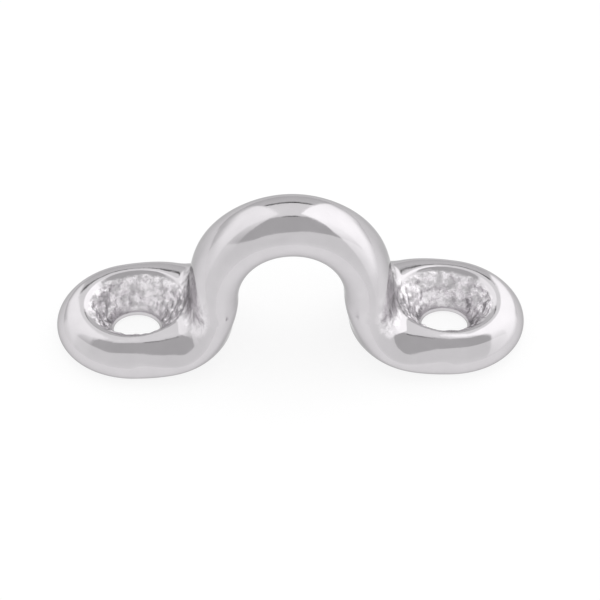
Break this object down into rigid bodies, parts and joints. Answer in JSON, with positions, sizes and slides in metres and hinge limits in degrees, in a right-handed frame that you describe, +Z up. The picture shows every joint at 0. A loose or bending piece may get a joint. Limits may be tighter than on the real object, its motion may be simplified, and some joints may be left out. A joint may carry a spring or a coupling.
{
  "type": "pad eye",
  "caption": "One-piece cast pad eye: two round feet with dished screw holes, joined by a tall bow of oval bar that a line or hook passes under.",
  "frame": {"origin": "centre of the flat underside, midway between the two screw holes", "axes": "+X along the fitting from foot to foot, +Y across the bar, +Z up from the deck to the top of the bow"},
  "size_m": [0.058, 0.0204, 0.0194],
  "materials": {
    "polished_plate": "bright plated casting, polished outside, left rough in the screw bowls"
  },
  "bodies": {
    "root": {"pad_eye": "polished_plate"}
  },
  "joints": []
}
